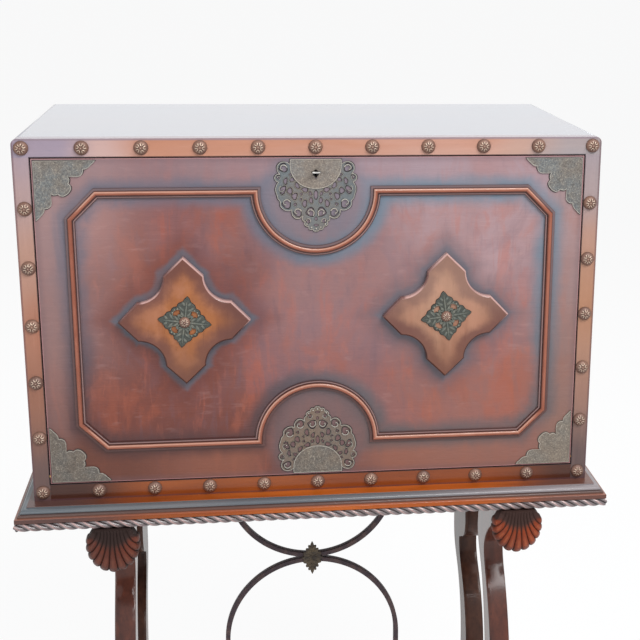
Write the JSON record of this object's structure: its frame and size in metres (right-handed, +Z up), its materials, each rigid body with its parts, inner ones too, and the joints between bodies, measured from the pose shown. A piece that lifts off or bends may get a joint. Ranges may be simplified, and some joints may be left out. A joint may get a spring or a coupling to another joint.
{
  "type": "vargueno",
  "caption": "Drop-front writing cabinet with pierced mounts and raised crosses, on a trestle stand with shell-ended lopers and an iron brace.",
  "frame": {"origin": "on the floor, under the middle of the whole object in X and Y", "axes": "+Z up, -Y the front (the side with the fall), +X to the right seen from the front"},
  "size_m": [0.92, 0.506, 1.265],
  "materials": {
    "case_wood": "satin, shaded brown-red mahogany",
    "frame_wood": "satin, lighter orange-brown mahogany",
    "panel_wood": "satin, red-brown with grey antiqued shading",
    "moulding_wood": "satin, rubbed copper-brown crest",
    "cross_wood": "satin, golden-brown with dark edges",
    "platform_wood": "glossy, orange-brown with blue-grey shading",
    "rope_wood": "dark, rubbed reddish on the strands",
    "shell_wood": "satin, orange-brown ribs with dark hollows",
    "stand_wood": "satin, dark mahogany",
    "inner_wood": "satin, plain mahogany inside",
    "antique_brass": "aged, bronze-grey with bright rims",
    "verdigris_brass": "aged, grey-green",
    "nail_brass": "aged, rubbed bright on the petals",
    "plain_brass": "satin",
    "lock_steel": "brushed",
    "brace_iron": "dark brown-purple, matt"
  },
  "bodies": {
    "cabinet": {"border_nails": "nail_brass", "strike_plate": "plain_brass", "face_top_rail": "frame_wood", "face_bottom_rail": "frame_wood", "face_stile_right": "frame_wood", "face_stile_left": "frame_wood", "case_side_right": "case_wood", "case_side_left": "case_wood", "case_top": "case_wood", "case_bottom": "inner_wood", "case_back": "case_wood", "writing_bed": "inner_wood", "bed_bearers": "inner_wood", "pivot_sockets": "plain_brass", "gallery_ends": "inner_wood", "gallery_shelves": "inner_wood", "gallery_partitions": "inner_wood", "gallery_valances": "inner_wood", "stay_stops": "plain_brass", "platform_board": "platform_wood", "platform_underframe": "stand_wood", "rope_front": "rope_wood", "rope_sides": "rope_wood", "trestle_heads": "stand_wood", "front_leg_right": "stand_wood", "front_leg_left": "stand_wood", "rear_leg_right": "stand_wood", "rear_leg_left": "stand_wood", "trestle_rails": "stand_wood", "trestle_feet": "stand_wood", "stretcher": "stand_wood", "iron_arc_upper": "brace_iron", "iron_arc_lower": "brace_iron", "leaf_ornament": "brace_iron", "brace_screws": "brace_iron"},
    "fall": {"fall_panel": "panel_wood", "pivot_pins": "plain_brass", "fall_moulding": "moulding_wood", "cross_left": "cross_wood", "cross_right": "cross_wood", "diamond_mounts": "verdigris_brass", "cross_nails": "nail_brass", "corner_brackets": "antique_brass", "upper_mount": "antique_brass", "lower_mount": "antique_brass", "lock_case": "lock_steel", "quadrant_stay_left": "plain_brass", "quadrant_stay_right": "plain_brass"},
    "bolt": {"lock_bolt": "lock_steel"},
    "lock_key": {"key": "lock_steel"},
    "left_loper": {"loper_bar_left": "stand_wood", "loper_shell_left": "shell_wood"},
    "right_loper": {"loper_bar_right": "stand_wood", "loper_shell_right": "shell_wood"},
    "left_drawer": {"drawer_left": "inner_wood", "drawer_knob_left": "plain_brass"},
    "middle_drawer": {"drawer_middle": "inner_wood", "drawer_knob_middle": "plain_brass"},
    "right_drawer": {"drawer_right": "inner_wood", "drawer_knob_right": "plain_brass"}
  },
  "joints": [
    {"name": "fall_hinge", "type": "hinge", "parent": "cabinet", "child": "fall", "pos_m": [0, -0.198, 0.7495], "axis": [1, 0, 0], "range_deg": [0, 90]},
    {"name": "bolt_slide", "type": "slide", "parent": "fall", "child": "bolt", "axis": [0, 0, 1], "range_m": [0, 0.008]},
    {"name": "key_turn", "type": "hinge", "parent": "fall", "child": "lock_key", "pos_m": [0, -0.203, 1.216], "axis": [0, 1, 0], "range_deg": [0, 90]},
    {"name": "left_loper_slide", "type": "slide", "parent": "cabinet", "child": "left_loper", "axis": [0, -1, 0], "range_m": [0, 0.2]},
    {"name": "right_loper_slide", "type": "slide", "parent": "cabinet", "child": "right_loper", "axis": [0, -1, 0], "range_m": [0, 0.2]},
    {"name": "left_drawer_slide", "type": "slide", "parent": "cabinet", "child": "left_drawer", "axis": [0, -1, 0], "range_m": [0, 0.12]},
    {"name": "middle_drawer_slide", "type": "slide", "parent": "cabinet", "child": "middle_drawer", "axis": [0, -1, 0], "range_m": [0, 0.12]},
    {"name": "right_drawer_slide", "type": "slide", "parent": "cabinet", "child": "right_drawer", "axis": [0, -1, 0], "range_m": [0, 0.12]}
  ],
  "couplings": [
    {"joint": "key_turn", "follows": "bolt_slide", "rad_per_m": 196.35}
  ]
}
